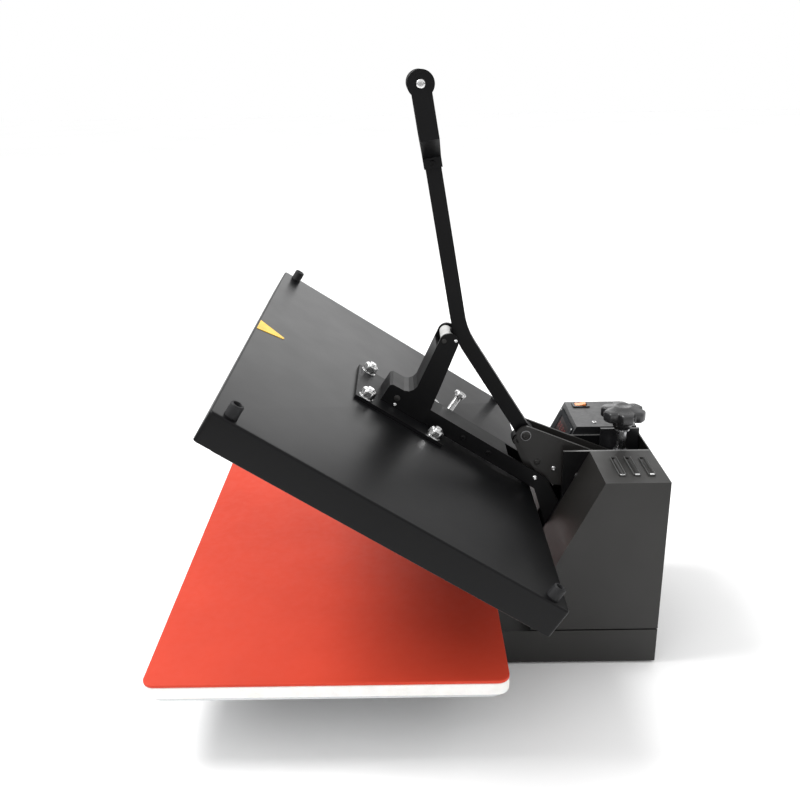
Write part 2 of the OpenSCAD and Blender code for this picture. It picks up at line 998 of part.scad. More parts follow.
module lever_bar() {
    color([0.05, 0.05, 0.055])
        difference() {
            x_plate(-lever_x, 2 * lever_x)
                lever_outline();
            x_rod(fulcrum, fulcrum_r + 0.05, -20, 20);
            x_rod(crank, crank_pin_r, -20, 20);
        }
}

fork_x = grip_len / 2;
fork_t = 4;
fork_w = 22;
fork_low = 207;
fork_rivet = 213;
eye_r = 15.5;
grip_r = 14.8;

module lever_fork() {
    color([0.04, 0.04, 0.045])
        on_lever()
            for (s = [0, 1])
                mirror([s, 0, 0]) {
                    rotate([90, 0, 0])
                        translate([0, 0, -fork_w / 2])
                            linear_extrude(fork_w)
                                polygon([[lever_x, fork_low], [lever_x + fork_t, fork_low],
                                    [lever_x + fork_t, 219], [fork_x + fork_t, 243],
                                    [fork_x + fork_t, lever_high], [fork_x, lever_high],
                                    [fork_x, 245.5], [lever_x, 221.5]]);
                    x_rod([0, lever_high], eye_r, fork_x, fork_x + fork_t);
                }
}

module lever_grip() {
    color([0.03, 0.03, 0.03])
        on_lever()
            difference() {
                x_rod([0, lever_high], grip_r, -fork_x, fork_x);
                x_rod([0, lever_high], 5, -fork_x - 1, fork_x + 1);
            }
}

module grip_bolt() {
    color([0.8, 0.8, 0.82])
        on_lever() {
            x_rod([0, lever_high], 5, -fork_x, fork_x);
            for (s = [0, 1])
                mirror([s, 0, 0])
                    x_rod([0, lever_high], 6, fork_x + fork_t, fork_x + fork_t + 2);
        }
}

module lever_pins() {
    color([0.75, 0.75, 0.77]) {
        x_rod(crank, crank_pin_r, -11.9, 11.9);
        on_lever() {
            for (s = [0, 1])
                mirror([s, 0, 0])
                    x_rod([0, fork_rivet], 3.5, lever_x + fork_t, lever_x + fork_t + 1.8);
            translate([0, -lever_w / 2, 4])
                rotate([90, 0, 0])
                    cylinder(r = 3.5, h = 2.6);
        }
    }
}

// ---- rocker, links and pressure screw ----
module cheek_outline() {
    bar(fulcrum, trunnion, 12.5, 10);
    polygon([fulcrum + [-10.5, -7], [160, 217], [179, 205], [205, 200], [226, 206], trunnion, fulcrum]);
}

module rocker_cheeks() {
    color([0.13, 0.125, 0.12])
        difference() {
            x_pair(cheek_x, cheek_t)
                cheek_outline();
            x_rod(fulcrum, fulcrum_r + 0.02, -20, 20);
            x_rod(rocker_pivot, pivot_r + 0.05, -20, 20);
            x_rod(trunnion, 5.6, -20, 20);
            x_rod(cheek_spacer, 3.02, -20, 20);
        }
}

module rocker_bolts() {
    color([0.8, 0.8, 0.82]) {
        x_rod(fulcrum, fulcrum_r, -cheek_x - cheek_t, cheek_x + cheek_t);
        x_rod(cheek_spacer, 3, -cheek_x - cheek_t, cheek_x + cheek_t);
        x_rod(cheek_spacer, 5.5, -cheek_x, cheek_x);
        for (s = [0, 1])
            mirror([s, 0, 0]) {
                x_rod(fulcrum, 7, cheek_x + cheek_t, cheek_x + cheek_t + 2.4);
                x_rod(cheek_spacer, 4, cheek_x + cheek_t, cheek_x + cheek_t + 2);
                x_rod(cheek_rivet, 4, cheek_x + cheek_t, cheek_x + cheek_t + 2);
            }
    }
}

module toggle_links() {
    color([0.6, 0.6, 0.62])
        difference() {
            x_pair(link_x, link_t) {
                bar(crank, anchor, link_eye_r, link_eye_r);
                translate(anchor) circle(link_low_eye_r);
            }
            x_rod(crank, crank_pin_r + 0.05, -20, 20);
            x_rod(anchor, anchor_pin_r + link_slack, -20, 20);
        }
}

rod_r = 6.5;
rod_top = 285.5;
collar_z = 274.5;
boss_z = 241.5;

module pressure_rod() {
    color([0.8, 0.8, 0.82])
        translate([0, trunnion[0], 0]) {
            translate([0, 0, block_z + block_h + 0.3])
                cylinder(r = rod_r, h = rod_top - block_z - block_h - 0.3);
            translate([0, 0, block_z - 8])
                cylinder(r = 5, h = block_h + 9);
            translate([0, 0, block_z + block_h + 0.3])
                cylinder(r = 9, h = 2.6);
            translate([0, 0, block_z - 6.3])
                hex_prism(16, 6);
            translate([0, 0, boss_z])
                cylinder(r = 10, h = 6);
            translate([0, 0, collar_z])
                cylinder(r = 10, h = 3.5);
        }
}

lobe_z = 290.5;
lobe_h = 15;
lobe_tip_r = 8.5;
knob_waist = 0.76 * knob_r;
hub_z = collar_z + 3.5;

module pressure_knob() {
    color([0.03, 0.03, 0.03])
        translate([0, trunnion[0], 0])
            difference() {
                union() {
                    translate([0, 0, hub_z])
                        cylinder(r1 = 11.5, r2 = 15, h = lobe_z - hub_z);
                    translate([0, 0, lobe_z])
                        linear_extrude(lobe_h) {
                            circle(knob_waist);
                            for (i = [0:knob_lobes - 1])
                                rotate(i * 360 / knob_lobes)
                                    bar([10, 0], [knob_r - lobe_tip_r, 0], lobe_tip_r + 0.5, lobe_tip_r);
                        }
                    translate([0, 0, lobe_z + lobe_h])
                        cylinder(r1 = 15, r2 = 10, h = 4);
                }
                translate([0, 0, hub_z - 1])
                    cylinder(r = rod_r + 0.02, h = rod_top - hub_z + 1.2);
            }
}

module trunnion_nut() {
    color([0.45, 0.45, 0.47])
        difference() {
            union() {
                x_rod(trunnion, 9, -cheek_x + 0.3, cheek_x - 0.3);
                x_rod(trunnion, 5, -18, 18);
            }
            translate([0, trunnion[0], trunnion[1] - 20])
                cylinder(r = rod_r + 0.06, h = 40);
        }
}

base_frame();
base_crossbars();
rubber_feet();
foot_screws();
support_channels();
levelling_studs();
levelling_nuts();
lower_plate();
foam_pad();
silicone_sheet();
frame_plates();
right_housing();
left_housing();
rear_panel();
thrust_block();
main_hinge_pin();
rocker_pivot_pin();
wiring_duct();
controller_housing();
controller_panel();
controller_display();
controller_screws();
button_set();
button_up();
button_down();
switch_bezel();
power_switch();
power_inlet();
fuse_holder();
control_board();
housing_gland();
platen_cover();
platen_insulation();
heating_plate();
corner_posts();
corner_screws();
centre_marker();
mount_plate();
mount_nuts();
sensor_bolt();
arm_plates();
arm_web();
arm_screws();
hinge_sleeve();
link_anchor_pin();
post_bracket();
post_roller();
cable_gland();
heater_cable();
lever_bar();
lever_fork();
lever_grip();
grip_bolt();
lever_pins();
rocker_cheeks();
rocker_bolts();
toggle_links();
pressure_rod();
pressure_knob();
trunnion_nut();
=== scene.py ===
"""Heat press, open at rest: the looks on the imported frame. X across, -Y to the operator, Z up; metres."""

import json
import math

import bmesh
import bpy
from mathutils import Matrix, Vector


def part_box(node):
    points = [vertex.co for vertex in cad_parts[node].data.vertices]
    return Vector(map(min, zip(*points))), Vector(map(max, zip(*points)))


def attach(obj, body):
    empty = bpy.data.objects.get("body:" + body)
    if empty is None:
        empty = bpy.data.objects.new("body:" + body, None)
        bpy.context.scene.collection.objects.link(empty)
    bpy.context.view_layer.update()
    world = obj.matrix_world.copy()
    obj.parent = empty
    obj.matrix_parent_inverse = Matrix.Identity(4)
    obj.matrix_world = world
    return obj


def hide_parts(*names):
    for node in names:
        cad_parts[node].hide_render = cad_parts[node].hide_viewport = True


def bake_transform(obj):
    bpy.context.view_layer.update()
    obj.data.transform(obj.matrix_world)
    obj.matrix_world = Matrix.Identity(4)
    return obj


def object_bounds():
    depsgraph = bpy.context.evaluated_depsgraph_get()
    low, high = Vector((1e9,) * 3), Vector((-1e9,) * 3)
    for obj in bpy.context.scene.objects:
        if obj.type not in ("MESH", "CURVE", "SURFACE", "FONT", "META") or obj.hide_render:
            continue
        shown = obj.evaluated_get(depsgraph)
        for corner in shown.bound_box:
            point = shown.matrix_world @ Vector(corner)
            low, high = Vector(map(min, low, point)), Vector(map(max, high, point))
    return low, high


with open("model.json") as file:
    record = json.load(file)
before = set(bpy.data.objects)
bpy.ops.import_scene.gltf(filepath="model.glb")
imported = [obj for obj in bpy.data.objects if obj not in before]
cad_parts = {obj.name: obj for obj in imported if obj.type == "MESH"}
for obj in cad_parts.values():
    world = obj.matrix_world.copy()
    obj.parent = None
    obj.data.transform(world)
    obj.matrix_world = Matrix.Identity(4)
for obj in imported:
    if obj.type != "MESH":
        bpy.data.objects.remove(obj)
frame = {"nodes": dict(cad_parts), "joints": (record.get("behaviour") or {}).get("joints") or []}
cad_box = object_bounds()
nodes = frame["nodes"]
joints = {j["name"]: j for j in frame["joints"]}

MM = 0.001
SLOPE = math.atan2(168, 83)  # the housing's sloping front
LEVER_LEAN = math.radians(9.4)  # the lever's upper part, from upright


# ---- places: local frames in which the pieces are drawn ----
def turned_about(point, angle):
    """A local frame: the machine's own, turned by angle about the line along X through point."""
    return Matrix.Translation(point) @ Matrix.Rotation(angle, 4, "X") @ Matrix.Translation(-Vector(point))


def centre(node):
    low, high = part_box(node)
    return (low + high) / 2


def box_in(place, node):
    """The node's lowest and highest corners in a local frame."""
    inverse = place.inverted()
    points = [inverse @ v.co for v in nodes[node].data.vertices]
    return (Vector(min(p[i] for p in points) for i in range(3)),
            Vector(max(p[i] for p in points) for i in range(3)))


hinge = Vector(joints["platen_hinge"]["pos_m"])
open_angle = math.radians(joints["platen_hinge"]["range_deg"][1])
CLOSED = turned_about(hinge, -open_angle)  # drawn as if the press were closed
LEVER = Matrix.Translation(centre("lever_grip")) @ Matrix.Rotation(LEVER_LEAN, 4, "X")  # z up the lever
PANEL = Matrix.Translation(centre("controller_display")) @ Matrix.Rotation(SLOPE, 4, "X")
HERE = Matrix.Identity(4)
ALONG_X = Matrix.Rotation(math.pi / 2, 4, "Y")


def up(z):
    return Matrix.Translation((0, 0, z))


def corners(low, high, inset):
    """The four (x, y) places that lie inset from a box's corners."""
    return [(x, y) for x in (low.x + inset, high.x - inset) for y in (low.y + inset, high.y - inset)]


def beside(face, side, y, z, place=HERE):
    """At (y, z) on the outside of a plate at x = +-face, with the local Z pointing away from it."""
    return place @ Matrix.Translation((side * face, y, z)) @ Matrix.Rotation(side * math.pi / 2, 4, "Y")


# ---- materials ----
class Nodes:
    """A Principled material built up from procedural nodes in object coordinates."""

    def __init__(self, name, **sockets):
        self.material = bpy.data.materials.new(name)
        self.material.use_nodes = True
        self.tree = self.material.node_tree
        self.shader = self.tree.nodes["Principled BSDF"]
        self.place = self.tree.nodes.new("ShaderNodeTexCoord").outputs["Object"]
        for socket, value in sockets.items():
            self.shader.inputs[socket.replace("_", " ")].default_value = value

    def add(self, kind, **values):
        node = self.tree.nodes.new("ShaderNode" + kind)
        for key, value in values.items():
            if key in node.inputs:
                node.inputs[key].default_value = value
            else:
                setattr(node, key, value)
        return node

    def link(self, out, into):
        self.tree.links.new(out, into)

    def stretched(self, scale):
        """Object coordinates scaled by (x, y, z)."""
        mapping = self.add("Mapping")
        mapping.inputs["Scale"].default_value = scale
        self.link(self.place, mapping.inputs["Vector"])
        return mapping.outputs["Vector"]

    def noise(self, scale, detail=3.0, rough=0.55, at=None):
        noise = self.add("TexNoise", Scale=scale, Detail=detail, Roughness=rough)
        self.link(at or self.place, noise.inputs["Vector"])
        return noise.outputs["Fac"]

    def spread(self, value, low, high, from_low=0.3, from_high=0.7):
        spread = self.add("MapRange")
        limits = {"From Min": from_low, "From Max": from_high, "To Min": low, "To Max": high}
        for key, number in limits.items():
            spread.inputs[key].default_value = number
        self.link(value, spread.inputs["Value"])
        return spread.outputs["Result"]

    def colours(self, value, *stops):
        """Base colour from a value: stops are (position, (r, g, b))."""
        ramp = self.add("ValToRGB")
        while len(ramp.color_ramp.elements) < len(stops):
            ramp.color_ramp.elements.new(0.5)
        for element, (position, rgb) in zip(ramp.color_ramp.elements, stops):
            element.position = position
            element.color = (*rgb, 1)
        self.link(value, ramp.inputs["Fac"])
        self.link(ramp.outputs["Color"], self.shader.inputs["Base Color"])
        return ramp.outputs["Color"]

    def roughness(self, value, low, high):
        self.link(self.spread(value, low, high), self.shader.inputs["Roughness"])

    def bump(self, value, depth, strength=1.0):
        """Height in metres; several calls stack up."""
        bump = self.add("Bump", Strength=strength, Distance=depth)
        self.link(value, bump.inputs["Height"])
        into = self.shader.inputs["Normal"]
        if into.is_linked:
            self.link(into.links[0].from_socket, bump.inputs["Normal"])
        self.link(bump.outputs["Normal"], into)


def shade(rgb, factor):
    return tuple(c * factor for c in rgb)


def powder_coat(name, rgb, low, high, specular=0.5, peel=0.00006):
    """Semi-gloss powder coat: orange peel, fine grain and a little dust."""
    m = Nodes(name, Specular_IOR_Level=specular)
    cloud = m.noise(5, 3)
    m.colours(cloud, (0.3, shade(rgb, 0.85)), (0.7, shade(rgb, 1.2)))
    m.roughness(m.noise(18, 2), low, high)
    m.bump(m.noise(900, 2), peel, 0.4)
    m.bump(m.noise(2600, 2), peel * 0.4, 0.4)
    return m.material


def steel(name, rgb, low, high, grain=(60, 2500, 2500)):
    """Bare or plated metal, brushed along the direction with the small scale."""
    m = Nodes(name, Metallic=1.0)
    brushed = m.noise(1.0, 6, 0.65, m.stretched(grain))
    m.colours(brushed, (0.35, shade(rgb, 0.82)), (0.7, shade(rgb, 1.08)))
    m.roughness(m.noise(120, 4), low, high)
    m.bump(brushed, 0.00002, 0.6)
    return m.material


def moulded(name, rgb, low, high, grain=900, depth=0.00005, **sockets):
    """Moulded plastic or rubber with a fine sparked grain."""
    m = Nodes(name, **sockets)
    m.colours(m.noise(40, 4), (0.3, shade(rgb, 0.85)), (0.7, shade(rgb, 1.15)))
    m.roughness(m.noise(200, 4), low, high)
    m.bump(m.noise(grain, 3), depth, 0.6)
    return m.material


def silicone(name):
    """Red cast silicone with a faint mottle and a pressed fabric grain."""
    m = Nodes(name, Subsurface_Weight=0.06, Subsurface_Scale=0.003, Specular_IOR_Level=0.22)
    m.shader.inputs["Subsurface Radius"].default_value = (1.0, 0.25, 0.12)
    m.colours(m.noise(7, 5), (0.3, (0.55, 0.046, 0.020)), (0.7, (0.62, 0.055, 0.025)))
    m.roughness(m.noise(90, 4), 0.5, 0.64)
    m.bump(m.noise(1.0, 1, 0.5, m.stretched((1400, 350, 1000))), 0.00004, 0.35)
    m.bump(m.noise(1.0, 1, 0.5, m.stretched((350, 1400, 1000))), 0.00004, 0.35)
    return m.material


def foam(name):
    """White silicone foam: open pores on every face."""
    m = Nodes(name, Subsurface_Weight=0.1, Subsurface_Scale=0.004)
    m.colours(m.noise(60, 5), (0.3, (0.84, 0.83, 0.80)), (0.7, (0.93, 0.92, 0.90)))
    m.roughness(m.noise(150, 3), 0.8, 0.95)
    pores = m.add("TexVoronoi", Scale=620.0)
    m.link(m.place, pores.inputs["Vector"])
    m.bump(m.spread(pores.outputs["Distance"], 0, 1, 0.1, 0.6), 0.0003, 0.7)
    return m.material


def wool(name):
    """Pressed mineral wool: long fibres lying across each other."""
    m = Nodes(name)
    fibres = m.noise(1.0, 8, 0.7, m.stretched((60, 900, 1300)))
    m.colours(fibres, (0.3, (0.45, 0.40, 0.30)), (0.7, (0.80, 0.76, 0.64)))
    m.roughness(fibres, 0.85, 1.0)
    m.bump(fibres, 0.0008, 0.8)
    return m.material


def circuit(name):
    """Green solder mask with copper tracks under it."""
    m = Nodes(name, Specular_IOR_Level=0.6)
    tracks = m.add("TexBrick", Scale=140.0)
    tracks.inputs["Color1"].default_value = (0.006, 0.07, 0.025, 1)
    tracks.inputs["Color2"].default_value = (0.008, 0.09, 0.03, 1)
    tracks.inputs["Mortar"].default_value = (0.03, 0.19, 0.07, 1)
    m.link(m.place, tracks.inputs["Vector"])
    m.link(tracks.outputs["Color"], m.shader.inputs["Base Color"])
    m.roughness(m.noise(300), 0.25, 0.4)
    m.bump(tracks.outputs["Fac"], 0.0001, 0.5)
    return m.material


def braid(name, rgb):
    """Braided sleeve: two slanted waves crossing."""
    m = Nodes(name)
    for slant in (1, -1):
        mapping = m.add("Mapping")
        mapping.inputs["Rotation"].default_value = (slant * 0.9, 0, 0)
        m.link(m.place, mapping.inputs["Vector"])
        wave = m.add("TexWave", Scale=190.0, Distortion=0.0, bands_direction="Z")
        m.link(mapping.outputs["Vector"], wave.inputs["Vector"])
        m.bump(wave.outputs["Fac"], 0.0003, 0.7)
    m.colours(m.noise(900, 2), (0.3, shade(rgb, 0.7)), (0.7, shade(rgb, 1.4)))
    m.roughness(m.noise(500), 0.55, 0.75)
    return m.material


def glow(name, rgb, strength):
    """A dim lit segment, uneven as a diode behind a tinted window."""
    m = Nodes(name, Emission_Strength=strength, Roughness=0.4)
    m.link(m.colours(m.noise(400), (0.3, shade(rgb, 0.7)), (0.7, rgb)), m.shader.inputs["Emission Color"])
    m.roughness(m.noise(200), 0.35, 0.5)
    m.bump(m.noise(900), 0.00003)
    return m.material


FRAME = powder_coat("powder_black", (0.0042, 0.0042, 0.0046), 0.38, 0.46, specular=0.14)
# A lighter coat for upward plate faces and vent rims: painted highlight where these edges catch the light.
PAINTED_HIGHLIGHT_COAT = powder_coat("powder_painted_highlight", (0.10, 0.10, 0.098), 0.30, 0.42)
SHEET = powder_coat("powder_warm_black", (0.0125, 0.0118, 0.0108), 0.42, 0.50, specular=0.45)
COATED = powder_coat("non_stick_coating", (0.030, 0.027, 0.025), 0.34, 0.44, specular=0.3, peel=0.00008)
COVER = powder_coat("powder_cover", (0.0036, 0.0036, 0.0040), 0.33, 0.36, specular=0.16, peel=0.00003)
ROCKER = powder_coat("rocker_black_steel", (0.019, 0.018, 0.017), 0.32, 0.42, specular=0.35)
CHROME = steel("bright_zinc", (0.80, 0.80, 0.80), 0.16, 0.30)
ROD = steel("ground_steel", (0.46, 0.46, 0.47), 0.20, 0.32, (2500, 2500, 60))
LINK = steel("dark_zinc", (0.20, 0.20, 0.205), 0.30, 0.42)
ALUMINIUM = steel("milled_aluminium", (0.58, 0.59, 0.60), 0.32, 0.46)
BRONZE = steel("bronze_bush", (0.58, 0.38, 0.16), 0.28, 0.42)
RUBBER = moulded("black_rubber", (0.009, 0.009, 0.010), 0.5, 0.65, Specular_IOR_Level=0.3)
PLASTIC = moulded("black_plastic", (0.011, 0.011, 0.012), 0.30, 0.40, Specular_IOR_Level=0.5)
SHELL = moulded("controller_shell", (0.011, 0.011, 0.012), 0.30, 0.40, Specular_IOR_Level=0.36)
KNOB = moulded("knob_plastic", (0.014, 0.014, 0.015), 0.26, 0.36, Specular_IOR_Level=0.8)
SILICONE = silicone("red_silicone")
FOAM = foam("white_foam")
WOOL = wool("mineral_wool")
PANEL_GREY = moulded("panel_grey", (0.014, 0.015, 0.017), 0.60, 0.72, Specular_IOR_Level=0.15)
DISPLAY = moulded("display_window", (0.010, 0.003, 0.003), 0.40, 0.50, 300, 0.00001, Specular_IOR_Level=0.15)
RED = moulded("button_red", (0.42, 0.020, 0.014), 0.28, 0.40)
WHITE = moulded("button_white", (0.62, 0.62, 0.60), 0.30, 0.45)
ORANGE = moulded("switch_orange", (0.85, 0.22, 0.012), 0.22, 0.34, Coat_Weight=0.4)
CIRCUIT = circuit("circuit_board")
YELLOW = moulded("yellow_vinyl", (0.84, 0.50, 0.018), 0.38, 0.50)
NYLON = moulded("white_nylon", (0.50, 0.50, 0.49), 0.40, 0.55)
BRAID = braid("cable_braid", (0.012, 0.012, 0.012))
SEGMENT = glow("lit_segment", (0.30, 0.014, 0.009), 0.10)


# ---- mesh building ----
def rows(bm, rings):
    """Joins rings of points with faces and closes both ends."""
    made = [[bm.verts.new(p) for p in ring] for ring in rings]
    for a, b in zip(made, made[1:]):
        for k in range(len(a)):
            quad = [a[k], a[(k + 1) % len(a)], b[(k + 1) % len(a)], b[k]]
            bm.faces.new(quad)
    bm.faces.new(made[0][::-1])
    bm.faces.new(made[-1])


def turned(bm, profile, at=HERE, sides=40):
    """A solid of revolution about Z, from (z, radius) pairs; a radius may be a function of the angle."""
    rings = []
    for z, radius in profile:
        ring = []
        for k in range(sides):
            a = 2 * math.pi * k / sides
            r = radius(a) if callable(radius) else radius
            ring.append(at @ Vector((r * math.cos(a), r * math.sin(a), z)))
        rings.append(ring)
    rows(bm, rings)


def hexagon(across):
    """Radius of a hexagon, by angle, for turned()."""
    def radius(a):
        return across / 2 / math.cos((a + math.pi / 6) % (math.pi / 3) - math.pi / 6)
    return radius


def capped(function, most):
    return lambda a: min(function(a), most)


def nut(bm, across, height, at):
    """A hex nut with both faces chamfered."""
    flat = hexagon(across)
    corner = across / 2 / math.cos(math.pi / 6)
    rim = across * 0.475
    steps = [(0, rim), (height * 0.06, capped(flat, (rim + corner) / 2)), (height * 0.14, flat)]
    top = [(height - z, r) for z, r in reversed(steps)]
    turned(bm, steps + top, at, 72)


def thread(bm, radius, length, pitch, at, sides=24):
    """A threaded stud with a real helix and a small lead chamfer."""
    depth = 0.54 * pitch
    profile = []
    count = max(4, int(length / (pitch / 4)))
    for i in range(count + 1):
        z = length * i / count

        def radius_at(a, z=z):
            phase = (z / pitch - a / (2 * math.pi)) % 1
            end = min(1.0, min(z, length - z) / pitch + 0.2)
            return radius - depth * (1 - end * (1 - abs(2 * phase - 1)))
        profile.append((z, radius_at))
    turned(bm, profile, at, sides)


def button_head(bm, radius, height, at, socket=0.5):
    """A domed screw head with a hex socket."""
    key = hexagon(2 * radius * socket * 0.9)
    rim = [(0, radius * 0.97), (height * 0.12, radius)]
    turns = [t * math.pi / 8 for t in range(5)]
    dome = [(height * (0.35 + 0.6 * math.sin(t)), radius * (0.62 + 0.38 * math.cos(t))) for t in turns]
    hole = [(height, radius * socket * 1.12), (height * 0.92, key), (height * 0.35, key)]
    turned(bm, rim + dome + hole, at, 48)


def washer(bm, radius, height, at):
    edge = height * 0.25
    turned(bm, [(0, radius - edge), (edge, radius), (height - edge, radius), (height, radius - edge)], at)


def soft_rect(w, d, r, per_corner=8):
    """Points of a rectangle with round corners, centred, anticlockwise."""
    points = []
    for quarter, (sx, sy) in enumerate([(1, 1), (-1, 1), (-1, -1), (1, -1)]):
        for k in range(per_corner + 1):
            a = math.pi / 2 * (quarter + k / per_corner)
            points.append((sx * (w / 2 - r) + r * math.cos(a), sy * (d / 2 - r) + r * math.sin(a)))
    return points


def slab(bm, low, high, corner, edge, bulge=0.0, at=HERE):
    """A flat slab with round corners, rounded edges and sides that bulge by up to bulge."""
    steps = 5
    mid = (low + high) / 2
    size = high - low
    rings = []
    profile = [(low.z + edge * (1 - math.cos(t)), edge * (1 - math.sin(t)))
               for t in [math.pi / 2 * k / steps for k in range(steps + 1)]]
    profile += [(low.z + size.z * k / 6, 0) for k in range(2, 5)]
    profile += [(high.z - (z - low.z), inset) for z, inset in reversed(profile[:steps + 1])]
    for z, inset in profile:
        lift = bulge * (1 - (2 * (z - mid.z) / size.z) ** 2) - bulge
        w, d = size.x + 2 * (lift - inset), size.y + 2 * (lift - inset)
        outline = soft_rect(w, d, max(corner - inset, edge))
        rings.append([at @ Vector((mid.x + x, mid.y + y, z)) for x, y in outline])
    rows(bm, rings)


def block(bm, low, high, at=HERE):
    outline = [(low.x, low.y), (high.x, low.y), (high.x, high.y), (low.x, high.y)]
    rows(bm, [[at @ Vector((x, y, z)) for x, y in outline] for z in (low.z, high.z)])


def prism(bm, outline, x0, x1):
    """An outline of (y, z) points extruded along X."""
    rows(bm, [[Vector((x, y, z)) for y, z in outline] for x in (x0, x1)])


def sweep(bm, path, radius, sides=24):
    """A round tube along a path in one X plane."""
    side = Vector((1, 0, 0))
    turns = [2 * math.pi * k / sides for k in range(sides)]
    rings = []
    for i, p in enumerate(path):
        ahead, behind = path[min(i + 1, len(path) - 1)], path[max(i - 1, 0)]
        other = (ahead - behind).normalized().cross(side).normalized()
        rings.append([p + radius * (math.cos(a) * side + math.sin(a) * other) for a in turns])
    rows(bm, rings)


def smooth_path(points, per_span=4):
    """A Catmull-Rom curve through the points."""
    made = []
    for i in range(len(points) - 1):
        p0, p1 = points[max(i - 1, 0)], points[i]
        p2, p3 = points[i + 1], points[min(i + 2, len(points) - 1)]
        for k in range(per_span):
            t = k / per_span
            made.append(0.5 * (2 * p1 + (p2 - p0) * t + (2 * p0 - 5 * p1 + 4 * p2 - p3) * t * t
                               + (3 * p1 - p0 - 3 * p2 + p3) * t ** 3))
    return made + [points[-1]]


def round_edges(obj, width, segments, angle):
    """Rounds the edges that are sharper than angle, in degrees."""
    bevel = obj.modifiers.new("round", "BEVEL")
    bevel.width = width
    bevel.segments = segments
    bevel.limit_method = "ANGLE"
    bevel.angle_limit = math.radians(angle)
    bevel.harden_normals = True


def piece(name, bm, material, body, stands_for=()):
    """Makes the object, rides it on its body and hides the CAD nodes that it stands for."""
    bmesh.ops.recalc_face_normals(bm, faces=bm.faces)
    mesh = bpy.data.meshes.new(name)
    bm.to_mesh(mesh)
    bm.free()
    obj = bpy.data.objects.new(name, mesh)
    bpy.context.scene.collection.objects.link(obj)
    mesh.materials.append(material)
    mesh.shade_smooth()
    mesh.set_sharp_from_angle(angle=math.radians(38))
    if body:
        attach(obj, body)
    if stands_for:
        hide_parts(*stands_for)
    return obj


def keep(node, material, bevel=0.6, segments=2, upper=None):
    """Shows a CAD node itself with edges rounded by bevel, in mm; the optional last argument is a lighter
    material for its upward faces, a painted highlight where the tops catch light.
    """
    obj = nodes[node]
    obj.data.materials.clear()
    obj.data.materials.append(material)
    if upper:
        obj.data.materials.append(upper)
    for face in obj.data.polygons:
        face.material_index = 1 if upper and face.normal.z > 0.95 else 0
        face.use_smooth = True
    merge = obj.modifiers.new("merge", "DECIMATE")
    merge.decimate_type = "DISSOLVE"
    merge.angle_limit = math.radians(1.0)
    round_edges(obj, bevel * MM, segments, 32)


# ---- lower table and base ----
def lower_table():
    corner, foam_edge, mat_edge = 14 * MM, 1.6 * MM, 1.2 * MM
    bm = bmesh.new()
    slab(bm, *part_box("foam_pad"), corner, foam_edge, bulge=0.5 * MM)
    pad = piece("foam_pad_soft", bm, FOAM, "frame", ["foam_pad"])
    bm = bmesh.new()
    slab(bm, *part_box("silicone_sheet"), corner, mat_edge)
    piece("silicone_mat", bm, SILICONE, "frame", ["silicone_sheet"])
    keep("lower_plate", ALUMINIUM, 0.8)
    keep("support_channels", FRAME, 1)


def feet():
    """Rubber feet that widen upwards, each with a screw and a nut inside."""
    low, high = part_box("rubber_feet")
    r, h = 14 * MM, high.z - low.z
    screw_r, screw_length, pitch, screw_z = 3 * MM, 8 * MM, 1 * MM, 1 * MM
    nut_across, nut_h, nut_z = 10 * MM, 4 * MM, 5.5 * MM
    profile = [(0, r * 0.78), (0.4 * MM, r * 0.84), (h * 0.6, r * 0.94), (h * 0.85, r), (h, r * 0.97)]
    rubber, screws = bmesh.new(), bmesh.new()
    for x, y in corners(low, high, r):
        at = Matrix.Translation((x, y, low.z))
        turned(rubber, profile, at)
        thread(screws, screw_r, screw_length, pitch, at @ up(screw_z))
        nut(screws, nut_across, nut_h, at @ up(nut_z))
    piece("feet_rubber", rubber, RUBBER, "frame", ["rubber_feet"])
    piece("feet_screws", screws, CHROME, "frame", ["foot_screws"])


def levelling():
    low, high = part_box("levelling_studs")
    nut_low, nut_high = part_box("levelling_nuts")
    r, pitch, nut_across, nut_h = 4 * MM, 1.25 * MM, 13 * MM, 6 * MM
    studs, nuts = bmesh.new(), bmesh.new()
    for x, y in corners(low, high, r):
        thread(studs, r, high.z - low.z, pitch, Matrix.Translation((x, y, low.z)))
        for z in (nut_low.z, nut_high.z - nut_h):
            nut(nuts, nut_across, nut_h, Matrix.Translation((x, y, z)))
    piece("levelling_threads", studs, CHROME, "frame", ["levelling_studs"])
    piece("levelling_hexes", nuts, CHROME, "frame", ["levelling_nuts"])


# ---- heated platen ----
def cover():
    """A sheet box, open below, with round corners, a round rim and a thin wall."""
    corner_r, rim_r, wall_t, hem = 4.5 * MM, 2.2 * MM, 1.5 * MM, 0.4 * MM
    low, high = box_in(CLOSED, "platen_cover")

    def level_at(verts, z):
        return all(abs(v.co.z - z) < 1e-6 for v in verts)
    bm = bmesh.new()
    block(bm, low, high)
    bottom = [f for f in bm.faces if level_at(f.verts, low.z)]
    bmesh.ops.delete(bm, geom=bottom, context="FACES_ONLY")
    upright = [e for e in bm.edges if not e.is_boundary and abs(e.verts[0].co.z - e.verts[1].co.z) > 1 * MM]
    bmesh.ops.bevel(bm, geom=upright, offset=corner_r, segments=6, profile=0.5, affect="EDGES")
    rim = [e for e in bm.edges if level_at(e.verts, high.z)]
    bmesh.ops.bevel(bm, geom=rim, offset=rim_r, segments=5, profile=0.5, affect="EDGES")
    obj = piece("platen_cover_folded", bm, COVER, None, ())
    for v in obj.data.vertices:
        v.co = CLOSED @ v.co
    wall = obj.modifiers.new("wall", "SOLIDIFY")
    wall.thickness = wall_t
    wall.offset = -1
    round_edges(obj, hem, 2, 60)
    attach(obj, "platen")
    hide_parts("platen_cover")


def platen_inside():
    bm = bmesh.new()
    slab(bm, *box_in(CLOSED, "heating_plate"), 14 * MM, 1 * MM, at=CLOSED)
    piece("heating_plate_cast", bm, COATED, "platen", ["heating_plate"])
    keep("platen_insulation", WOOL, 2)


